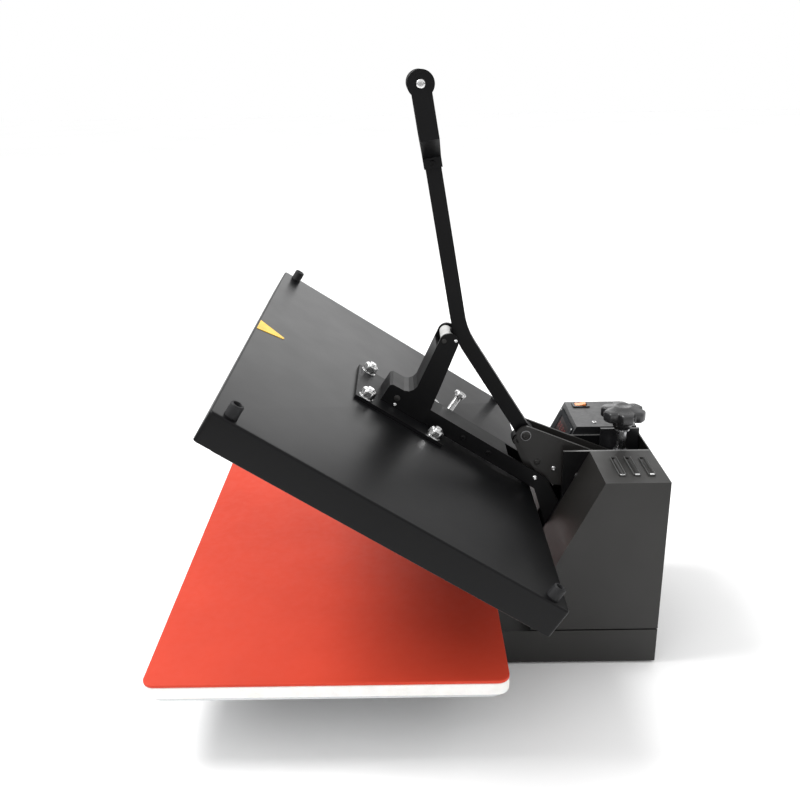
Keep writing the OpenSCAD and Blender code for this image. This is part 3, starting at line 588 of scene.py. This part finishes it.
def corner_posts():
    """Hollow rubber posts, each with its screw sunk in the bore."""
    low, high = box_in(CLOSED, "corner_posts")
    r, h = 7.2 * MM, high.z - low.z
    bore = r - 2.6 * MM
    screw_r, screw_h, screw_z = 4.2 * MM, 3 * MM, 7 * MM
    foot = [(0, r), (0.6 * MM, r * 1.03), (1.4 * MM, r)]
    top = [(h - 1.6 * MM, r * 0.98), (h - 0.5 * MM, r * 0.93), (h, r * 0.86)]
    inside = [(h, bore * 1.08), (h - 0.6 * MM, bore), (screw_z, bore)]
    rubber, screws = bmesh.new(), bmesh.new()
    for x, y in corners(low, high, r):
        at = CLOSED @ Matrix.Translation((x, y, low.z))
        turned(rubber, foot + top + inside, at)
        button_head(screws, screw_r, screw_h, at @ up(screw_z))
    piece("corner_post_rubbers", rubber, RUBBER, "platen", ["corner_posts"])
    piece("corner_post_screws", screws, CHROME, "platen", ["corner_screws"])


def mount_nuts():
    low, high = box_in(CLOSED, "mount_nuts")
    face = box_in(CLOSED, "mount_plate")[1].z
    washer_r, washer_h, across, nut_h, stud_r, pitch = 10 * MM, 1.5 * MM, 17 * MM, 9.5 * MM, 5 * MM, 1.5 * MM
    nuts, studs = bmesh.new(), bmesh.new()
    for x, y in corners(low, high, washer_r):
        at = CLOSED @ Matrix.Translation((x, y, face))
        washer(nuts, washer_r, washer_h, at)
        nut(nuts, across, nut_h, at @ up(washer_h))
        thread(studs, stud_r, high.z - face, pitch, at)
    piece("mount_nut_hexes", nuts, CHROME, "platen", ["mount_nuts"])
    piece("mount_nut_studs", studs, CHROME, "platen", ())


def sensor_bolt():
    """A threaded bolt on a washer, with one nut at its foot and one near its tip."""
    low, high = box_in(CLOSED, "sensor_bolt")
    middle = (low + high) / 2
    length = high.z - low.z
    bolt_r, pitch, washer_r, washer_h, across, nut_h = 4.5 * MM, 1.25 * MM, 10 * MM, 1.6 * MM, 15 * MM, 7 * MM
    upper_nut = length - 8 * MM
    at = CLOSED @ Matrix.Translation((middle.x, middle.y, low.z))
    bm = bmesh.new()
    thread(bm, bolt_r, length, pitch, at)
    washer(bm, washer_r, washer_h, at)
    for z in (washer_h, upper_nut):
        nut(bm, across, nut_h, at @ up(z))
    piece("sensor_bolt_threaded", bm, CHROME, "platen", ["sensor_bolt"])


def on_arm(face, side, along, above):
    """Beside an arm plate, along and above in mm from the cover's front upper edge."""
    low, high = box_in(CLOSED, "platen_cover")
    return beside(face, side, low.y + along * MM, high.z + above * MM, CLOSED)


def arm_and_post():
    keep("mount_plate", FRAME, 0.9)
    for node in ("arm_plates", "arm_web", "post_bracket"):
        keep(node, FRAME, 0.8)
    keep("hinge_sleeve", BRONZE, 0.5)
    keep("link_anchor_pin", CHROME)
    keep("centre_marker", YELLOW, 0.12, 1)
    bright, black = bmesh.new(), bmesh.new()
    arm_screw_r, arm_screw_h = 3.5 * MM, 2.2 * MM
    arm_face = box_in(CLOSED, "arm_screws")[1].x - arm_screw_h
    for bm, along, above in ((bright, 412, 18), (black, 300, 15), (black, 340, 15)):
        for side in (1, -1):
            button_head(bm, arm_screw_r, arm_screw_h, on_arm(arm_face, side, along, above))
    piece("arm_screw_heads", black, FRAME, "platen", ["arm_screws"])

    post_face = box_in(CLOSED, "post_bracket")[1].x
    roller()
    for side in (1, -1):
        button_head(bright, 2.4 * MM, 2.6 * MM, on_arm(post_face, side, 219.5, 120))
        button_head(bright, 2.2 * MM, 1.4 * MM, on_arm(post_face, side, 200, 8.5))
    piece("post_screws", bright, CHROME, "platen", ())
    reach = post_face + 1 * MM
    pins = bmesh.new()
    for r, along, above in ((4 * MM, 198, 17), (3 * MM, 207.5, 112)):
        profile = [(-reach, r * 0.8), (-reach + 0.5 * MM, r), (reach - 0.5 * MM, r), (reach, r * 0.8)]
        turned(pins, profile, on_arm(0, 1, along, above))
    piece("post_pins", pins, ROCKER, "platen", ())


def roller():
    """The nylon roller between the post's flanges, with chamfered ends."""
    half = box_in(CLOSED, "post_bracket")[1].x - 4.2 * MM
    r, chamfer = 7.8 * MM, 0.8 * MM
    bm = bmesh.new()
    profile = [(-half, r * 0.88), (-half + chamfer, r), (half - chamfer, r), (half, r * 0.88)]
    turned(bm, profile, on_arm(0, 1, 211.5, 113.5))
    piece("post_roller_nylon", bm, NYLON, "platen", ["post_roller"])


def gland(name, node, place, body):
    """A cable gland along the local Z: a round body, a hex collar and a domed clamp round the bore."""
    low, high = box_in(place, node)
    middle = (low + high) / 2
    length = high.z - low.z
    body_r, bore = 5.9 * MM, 3.55 * MM
    hexed = capped(hexagon(15 * MM), 8.2 * MM)
    foot = [(0, 5.4 * MM), (0.5 * MM, body_r), (length - 6 * MM, body_r)]
    collar = [(length - 5.6 * MM, hexed), (length - 3.4 * MM, hexed)]
    clamp = [(length - 3 * MM, 6.8 * MM), (length - 1.4 * MM, 6.5 * MM), (length - 0.4 * MM, 5.4 * MM),
             (length, 4.4 * MM)]
    bm = bmesh.new()
    at = place @ Matrix.Translation((middle.x, middle.y, low.z))
    turned(bm, foot + collar + clamp + [(length, bore), (0, bore)], at, 60)
    piece(name, bm, PLASTIC, body, [node])


# ---- lever ----
def grip():
    """A ribbed rubber grip with chamfered ends and the bolt through it."""
    low, high = box_in(LEVER, "lever_grip")
    half = (high.x - low.x) / 2
    r = (high.z - low.z) / 2
    at = LEVER @ ALONG_X
    plain_end, ribs, per_rib = 8 * MM, 22, 4
    end = [(half, r * 0.80), (half - 0.8 * MM, r * 0.93), (half - 2.4 * MM, r)]
    profile = [(-x, radius) for x, radius in end]
    for k in range(ribs * per_rib + 1):
        x = -half + plain_end + (2 * half - 2 * plain_end) * k / (ribs * per_rib)
        profile.append((x, r * (0.985 - 0.03 * (0.5 - 0.5 * math.cos(2 * math.pi * k / per_rib)))))
    bm = bmesh.new()
    turned(bm, profile + end[::-1], at, 56)
    piece("lever_grip_rubber", bm, RUBBER, "lever", ["lever_grip"])

    head_r, head_h, shank_r = 5.1 * MM, 2 * MM, 4.8 * MM
    face = box_in(LEVER, "grip_bolt")[1].x - head_h
    bm = bmesh.new()
    for side in (1, -1):
        button_head(bm, head_r, head_h, beside(face, side, 0, 0, LEVER), 0.45)
    turned(bm, [(-half, shank_r), (half, shank_r)], at)
    piece("grip_bolt_heads", bm, CHROME, "lever", ["grip_bolt"])


def lever_pins():
    """The link's pin at the lever's foot and the fork's rivets, two at the sides and one in front."""
    crank = Vector(joints["link_swing"]["pos_m"])
    reach, r = 11.9 * MM, 3.5 * MM
    bm = bmesh.new()
    profile = [(-reach, r * 0.85), (-reach + 0.5 * MM, r), (reach - 0.5 * MM, r), (reach, r * 0.85)]
    turned(bm, profile, Matrix.Translation(crank) @ ALONG_X)
    low, high = box_in(LEVER, "lever_pins")
    grip_z, side_rivet_z, front_rivet_z = 303.5 * MM, 213 * MM, 4 * MM
    rivet_r, side_rivet_h, front_rivet_h = 3.5 * MM, 1.8 * MM, 2.6 * MM
    for side in (1, -1):
        at = beside(high.x - side_rivet_h, side, 0, side_rivet_z - grip_z, LEVER)
        button_head(bm, rivet_r, side_rivet_h, at)
    at = LEVER @ Matrix.Translation((0, low.y + front_rivet_h, front_rivet_z - grip_z))
    button_head(bm, rivet_r, front_rivet_h, at @ Matrix.Rotation(math.pi / 2, 4, "X"))
    piece("lever_pin_heads", bm, FRAME, "lever", ["lever_pins"])


# ---- rocker, links, pressure screw ----
def linkage():
    keep("rocker_cheeks", ROCKER, 0.8)
    keep("toggle_links", ROCKER, 0.9)
    keep("trunnion_nut", ROD)
    fulcrum = Vector(joints["lever_swing"]["pos_m"])
    pivot_at, spacer_at, rivet_at = (fulcrum.y, fulcrum.z), (180 * MM, 228 * MM), (158 * MM, 237 * MM)
    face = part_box("rocker_bolts")[1].x - 2.4 * MM
    gap = face - 4 * MM
    dark, rings, bright = bmesh.new(), bmesh.new(), bmesh.new()
    turned(dark, [(-face, 4.5 * MM), (face, 4.5 * MM)], Matrix.Translation(fulcrum) @ ALONG_X)
    for side in (1, -1):
        washer(rings, 7 * MM, 0.7 * MM, beside(face, side, *pivot_at))
        button_head(dark, 5.9 * MM, 2.4 * MM, beside(face, side, *pivot_at), 0.45)
        button_head(bright, 3.2 * MM, 2 * MM, beside(face, side, *spacer_at))
        button_head(dark, 4 * MM, 2 * MM, beside(face, side, *rivet_at))
    spacer = [(-gap, 5 * MM), (-gap + 0.5 * MM, 5.5 * MM), (gap - 0.5 * MM, 5.5 * MM), (gap, 5 * MM)]
    turned(dark, spacer, Matrix.Translation((0, *spacer_at)) @ ALONG_X)
    piece("rocker_bolt_heads", dark, ROCKER, "rocker", ["rocker_bolts"])
    piece("rocker_washers", rings, LINK, "rocker", ())
    piece("rocker_spacer_screws", bright, CHROME, "rocker", ())


def pressure_screw():
    """Upwards: the tail with its nut, a washer, the thread, a collar and the plain shank below the knob."""
    axis = Vector(joints["knob_turn"]["pos_m"])
    low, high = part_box("pressure_rod")
    r, tail_r, tail_length = 6.5 * MM, 5 * MM, 20.6 * MM
    washer_z, thread_z, collar_z, shank_z = 208.3 * MM, 210.9 * MM, 241.5 * MM, 247.5 * MM
    thread_length, shank_length = 30.6 * MM, high.z - shank_z

    def at(z):
        return Matrix.Translation((axis.x, axis.y, z))
    bm = bmesh.new()
    turned(bm, [(0, 4.6 * MM), (0.5 * MM, tail_r), (tail_length, tail_r)], at(low.z))
    nut(bm, 16 * MM, 6 * MM, at(low.z + 1.7 * MM))
    washer(bm, 9 * MM, thread_z - washer_z, at(washer_z))
    thread(bm, r, thread_length, 1.75 * MM, at(thread_z), 32)
    turned(bm, [(0, 9.4 * MM), (0.6 * MM, 10 * MM), (5.4 * MM, 10 * MM), (6 * MM, 9.4 * MM)], at(collar_z))
    turned(bm, [(0, r), (shank_length - 0.5 * MM, r), (shank_length, r * 0.9)], at(shank_z))
    piece("pressure_rod_ground", bm, ROD, "knob", ["pressure_rod"])


def knob_collar():
    """A knurled ring under the knob."""
    axis = Vector(joints["knob_turn"]["pos_m"])
    most, h = 10 * MM, 3.5 * MM

    def knurl(a):
        return most * (0.965 + 0.035 * math.cos(30 * a))
    bm = bmesh.new()
    profile = [(0, 8.6 * MM), (0.6 * MM, knurl), (2.9 * MM, knurl), (h, 8.9 * MM)]
    turned(bm, profile, Matrix.Translation((axis.x, axis.y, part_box("pressure_knob")[0].z - h)), 120)
    piece("pressure_collar", bm, ROD, "knob", ())


def knob():
    """A star knob: wide fingers with shallow valleys, a thick hub below and a shallow dish on top."""
    low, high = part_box("pressure_knob")
    axis = Vector(joints["knob_turn"]["pos_m"])
    most = high.x
    waist = 0.81 * most
    lobes = 6
    rise, dome = 15 * MM, 4 * MM
    foot = high.z - low.z - dome - rise
    rim = foot + rise

    def lobe(scale):
        def radius(a):
            share = abs((a + math.pi / lobes) % (2 * math.pi / lobes) - math.pi / lobes) / (math.pi / lobes)
            finger = 0.5 + 0.5 * math.cos(math.pi * min(1.0, max(0.0, (share - 0.36) / 0.64)))
            return scale * (waist + (most - waist) * finger) * (1 - 0.03 * share ** 2)
        return radius
    hub = [(0, 10.6 * MM), (0.6 * MM, 11.4 * MM), (6 * MM, 13.2 * MM), (foot - 1 * MM, 14.8 * MM)]
    body = [(foot, lobe(0.84)), (foot + 0.9 * MM, lobe(0.94)), (foot + 2.8 * MM, lobe(1.0)),
            (rim - 3.4 * MM, lobe(1.0)), (rim - 1.4 * MM, lobe(0.97)), (rim - 0.3 * MM, lobe(0.90)),
            (rim, lobe(0.80))]
    dish = [(rim + 1.6 * MM, 14.8 * MM), (rim + 3.2 * MM, 12 * MM), (rim + 3.8 * MM, 9.5 * MM),
            (rim + 3.2 * MM, 7.5 * MM), (rim + 2.6 * MM, 3 * MM)]
    bm = bmesh.new()
    turned(bm, hub + body + dish, Matrix.Translation((axis.x, axis.y, low.z)), 144)
    piece("pressure_knob_moulded", bm, KNOB, "knob", ["pressure_knob"])


# ---- frame, housings, controller ----
def housing():
    keep("base_frame", SHEET, 1.2)
    keep("base_crossbars", FRAME, 1.2)
    keep("thrust_block", FRAME, 1)
    # The plates' upward faces take the lighter coat: a painted highlight along their top edges.
    keep("frame_plates", FRAME, 0.8, 2, PAINTED_HIGHLIGHT_COAT)
    for node in ("right_housing", "left_housing", "rear_panel"):
        keep(node, SHEET, 0.7, 3)
    keep("main_hinge_pin", CHROME, 0.8)
    keep("rocker_pivot_pin", CHROME)
    keep("wiring_duct", PLASTIC, 0.8)
    keep("fuse_holder", PLASTIC, 0.8)
    keep("power_inlet", PLASTIC)
    keep("control_board", CIRCUIT, 0.3, 1)


def vents():
    """The pressed channels under the right housing's vents, with raised rims in a lighter coat and a chrome
    block at each outer end: painted highlights, the rims for the lit ridges and the blocks for the glint at
    the channel ends.
    """
    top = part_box("right_housing")[1].z
    x0, x1 = 52 * MM, 104 * MM
    rim_w, rim_h = 0.9 * MM, 0.6 * MM
    half_turn = [math.pi * k / 10 for k in range(11)]
    troughs, rim_highlights, end_highlights = bmesh.new(), bmesh.new(), bmesh.new()

    def hollow(y, edge_down, half_width, depth):
        return [(y - half_width * math.cos(a), top - edge_down - depth * math.sin(a)) for a in half_turn]
    for y in (249 * MM, 267 * MM, 285 * MM):
        inner = hollow(y, 0.3 * MM, 3.2 * MM, 2.6 * MM)
        outer = hollow(y, 1.4 * MM, 4.2 * MM, 3 * MM)
        prism(troughs, inner + outer[::-1], x0, x1)
        # The rims take the lighter coat: painted highlights along the ridges.
        for edge in (y - 4.3 * MM, y + 3.5 * MM):
            low = Vector((x0 - 1 * MM, edge, top - 0.4 * MM))
            slab(rim_highlights, low, Vector((x1 + 1 * MM, edge + rim_w, top + rim_h)), 0.4 * MM, 0.3 * MM)
        # A chrome block at the channel's outer end: a painted highlight that stands for the glint on the
        # pressed end.
        low = Vector((x1 - 1 * MM, y - 3 * MM, top - 1 * MM))
        slab(end_highlights, low, Vector((x1 + 2.6 * MM, y + 3 * MM, top + 0.5 * MM)), 1 * MM, 0.4 * MM)
    piece("vent_channels", troughs, SHEET, "frame", ())
    piece("vent_rim_highlights", rim_highlights, PAINTED_HIGHLIGHT_COAT, "frame", ())
    piece("vent_end_highlights", end_highlights, CHROME, "frame", ())


def controller():
    keep("controller_housing", SHELL, 2.5, 4)
    keep("controller_panel", PANEL_GREY, 0.4)
    keep("switch_bezel", PLASTIC)
    keep("power_switch", ORANGE, 0.6, 3)
    controller_screws()
    display()
    push_button("button_set", RED, "set_button")
    push_button("button_up", WHITE, "up_button")
    push_button("button_down", WHITE, "down_button")


def controller_screws():
    """Small screws in the sloping panel's corners and larger ones on top of the housing."""
    screws = bmesh.new()
    low, high = box_in(PANEL, "controller_panel")
    for x, y in corners(low, high, 3.2 * MM):
        button_head(screws, 1.8 * MM, 0.8 * MM, PANEL @ Matrix.Translation((x, y, high.z)))
    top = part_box("controller_housing")[1].z
    for x, y in ((-45, 244), (-45, 290), (-112, 290)):
        button_head(screws, 3.4 * MM, 1.4 * MM, Matrix.Translation((x * MM, y * MM, top)))
    piece("controller_screw_heads", screws, CHROME, "frame", ["controller_screws"])


def push_button(node, material, body):
    """A domed cap with a rolled edge and a shallow dish for the finger."""
    low, high = box_in(PANEL, node)
    middle = (low + high) / 2
    r, h = (high.x - low.x) / 2, high.z - low.z
    side = [(0, r * 0.98), (h * 0.15, r), (h * 0.78, r * 0.98), (h * 0.93, r * 0.90)]
    dish = [(h, r * 0.76), (h * 0.97, r * 0.5), (h * 0.93, r * 0.2)]
    bm = bmesh.new()
    turned(bm, side + dish, PANEL @ Matrix.Translation((middle.x, middle.y, low.z)), 48)
    piece(node + "_cap", bm, material, body, [node])


def display():
    """A tinted window with a row of four seven-segment digits on it."""
    low, high = box_in(PANEL, "controller_display")
    bm = bmesh.new()
    slab(bm, low, high, 1.6 * MM, 0.4 * MM, at=PANEL)
    piece("display_window", bm, DISPLAY, "frame", ["controller_display"])
    bars = bmesh.new()
    w, h, t = 4.2 * MM, 3.6 * MM, 0.7 * MM
    segments = [(0, dy, w, t) for dy in (h, 0, -h)]
    segments += [(sx * w * 0.56, sy * h / 2, t, h) for sx in (1, -1) for sy in (1, -1)]
    for i in range(4):
        x = low.x + (high.x - low.x) * (i + 0.75) / 4.5
        for dx, dy, sx, sy in segments:
            middle = Vector((x + dx, (low.y + high.y) / 2 + dy, high.z))
            size = Vector((sx * 0.42, sy * 0.42, 0.06 * MM))
            block(bars, middle - size, middle + size, PANEL)
    piece("display_digits", bars, SEGMENT, "frame", ())


# ---- heater cable: its route in mm, from the cover's gland to the housing's ----
CABLE_X = -62
CABLE_ROUTE = [(142.6, 183), (146.8, 180.3), (151.8, 177), (156, 172.5), (158.2, 167), (158, 160.5),
               (155.5, 154), (151, 147.5), (146, 141), (141, 134.5), (137, 127.5), (135, 120.5),
               (135.2, 114), (138.6, 108.9), (143.5, 106.4), (148.4, 104), (150.2, 103.1)]


def heater_cable():
    """A braided cable swept along its route as one fixed tube; it does not follow the platen."""
    path = smooth_path([Vector((CABLE_X, y, z)) * MM for y, z in CABLE_ROUTE])
    bm = bmesh.new()
    sweep(bm, path, 3.4 * MM)
    cable = piece("heater_cable_braided", bm, BRAID, None, ["heater_cable"])
    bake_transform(cable)


# ---- stage ----
def studio_floor():
    m = Nodes("studio_floor", Specular_IOR_Level=0.0)
    m.colours(m.noise(1.5), (0.3, (0.955, 0.955, 0.955)), (0.7, (0.975, 0.975, 0.975)))
    m.roughness(m.noise(4), 0.85, 0.95)
    m.bump(m.noise(80), 0.0001, 0.2)
    at = Matrix.Translation((0, 0, cad_box[0].z))
    bm = bmesh.new()
    bmesh.ops.create_grid(bm, x_segments=8, y_segments=8, size=14.0, matrix=at)
    mesh = bpy.data.meshes.new("studio_floor")
    bm.to_mesh(mesh)
    bm.free()
    mesh.materials.append(m.material)
    floor = bpy.data.objects.new("studio_floor", mesh)
    bpy.context.scene.collection.objects.link(floor)


def lamp(name, offset, size, watts):
    """A soft round lamp at offset from the press's middle, shining at it."""
    middle = (cad_box[0] + cad_box[1]) / 2
    data = bpy.data.lights.new(name, "AREA")
    data.shape = "DISK"
    data.size = size
    data.energy = watts
    obj = bpy.data.objects.new(name, data)
    obj.location = middle + Vector(offset)
    obj.rotation_mode = "QUATERNION"
    obj.rotation_quaternion = (middle - obj.location).to_track_quat("-Z", "Y")
    bpy.context.scene.collection.objects.link(obj)


def sky():
    """A white tent round the stage, dim near the floor so that black faces keep their shape; white behind."""
    world = bpy.data.worlds.new("studio")
    bpy.context.scene.world = world
    world.use_nodes = True
    tree = world.node_tree
    background = tree.nodes["Background"]
    background.inputs["Color"].default_value = (1, 1, 1, 1)
    height = tree.nodes.new("ShaderNodeSeparateXYZ")
    tree.links.new(tree.nodes.new("ShaderNodeTexCoord").outputs["Generated"], height.inputs["Vector"])
    rise = tree.nodes.new("ShaderNodeMapRange")
    rise.interpolation_type = "SMOOTHSTEP"
    for key, value in (("From Min", 0.05), ("From Max", 0.24), ("To Min", 0.03), ("To Max", 1.06)):
        rise.inputs[key].default_value = value
    tree.links.new(height.outputs["Z"], rise.inputs["Value"])
    behind = tree.nodes.new("ShaderNodeMix")
    behind.inputs["B"].default_value = 1.0
    tree.links.new(tree.nodes.new("ShaderNodeLightPath").outputs["Is Camera Ray"], behind.inputs["Factor"])
    tree.links.new(rise.outputs["Result"], behind.inputs["A"])
    tree.links.new(behind.outputs["Result"], background.inputs["Strength"])


def studio():
    studio_floor()
    sky()
    lamp("key", (0.0, -1.5, 2.2), 1.2, 60)
    lamp("fill", (2.2, -1.8, 1.6), 1.8, 6)
    lamp("window", (-2.3, 0.30, 0.62), 1.3, 5.5)


def camera():
    """At the photograph's place: off the right-hand side, looking a little down."""
    yaw, pitch, roll = math.radians(0.14), math.radians(20.22), math.radians(0.87)
    ahead = Vector((-math.cos(yaw) * math.cos(pitch), -math.sin(yaw) * math.cos(pitch), -math.sin(pitch)))
    level = Vector((-math.sin(yaw), math.cos(yaw), 0))
    down = ahead.cross(level)
    right = level * math.cos(roll) + down * math.sin(roll)
    below = down * math.cos(roll) - level * math.sin(roll)
    data = bpy.data.cameras.new("photo_view")
    data.lens = 40.77
    data.sensor_width = 36
    cam = bpy.data.objects.new("photo_view", data)
    cam.matrix_world = Matrix((right, -below, -ahead)).transposed().to_4x4()
    cam.location = Vector((1.110, -0.019, 0.730))
    bpy.context.scene.collection.objects.link(cam)
    bpy.context.scene.camera = cam


lower_table()
feet()
levelling()
cover()
platen_inside()
corner_posts()
mount_nuts()
sensor_bolt()
arm_and_post()
gland("cover_gland", "cable_gland", CLOSED @ Matrix.Rotation(-math.pi / 2, 4, "X"), "platen")
gland("box_gland", "housing_gland", turned_about(centre("housing_gland"), SLOPE), "frame")
keep("lever_bar", FRAME, 1.2, 3)
keep("lever_fork", FRAME, 0.7, 3)
grip()
lever_pins()
linkage()
pressure_screw()
knob_collar()
knob()
housing()
vents()
controller()
heater_cable()
studio()
camera()
bpy.context.scene.view_settings.view_transform = "Standard"
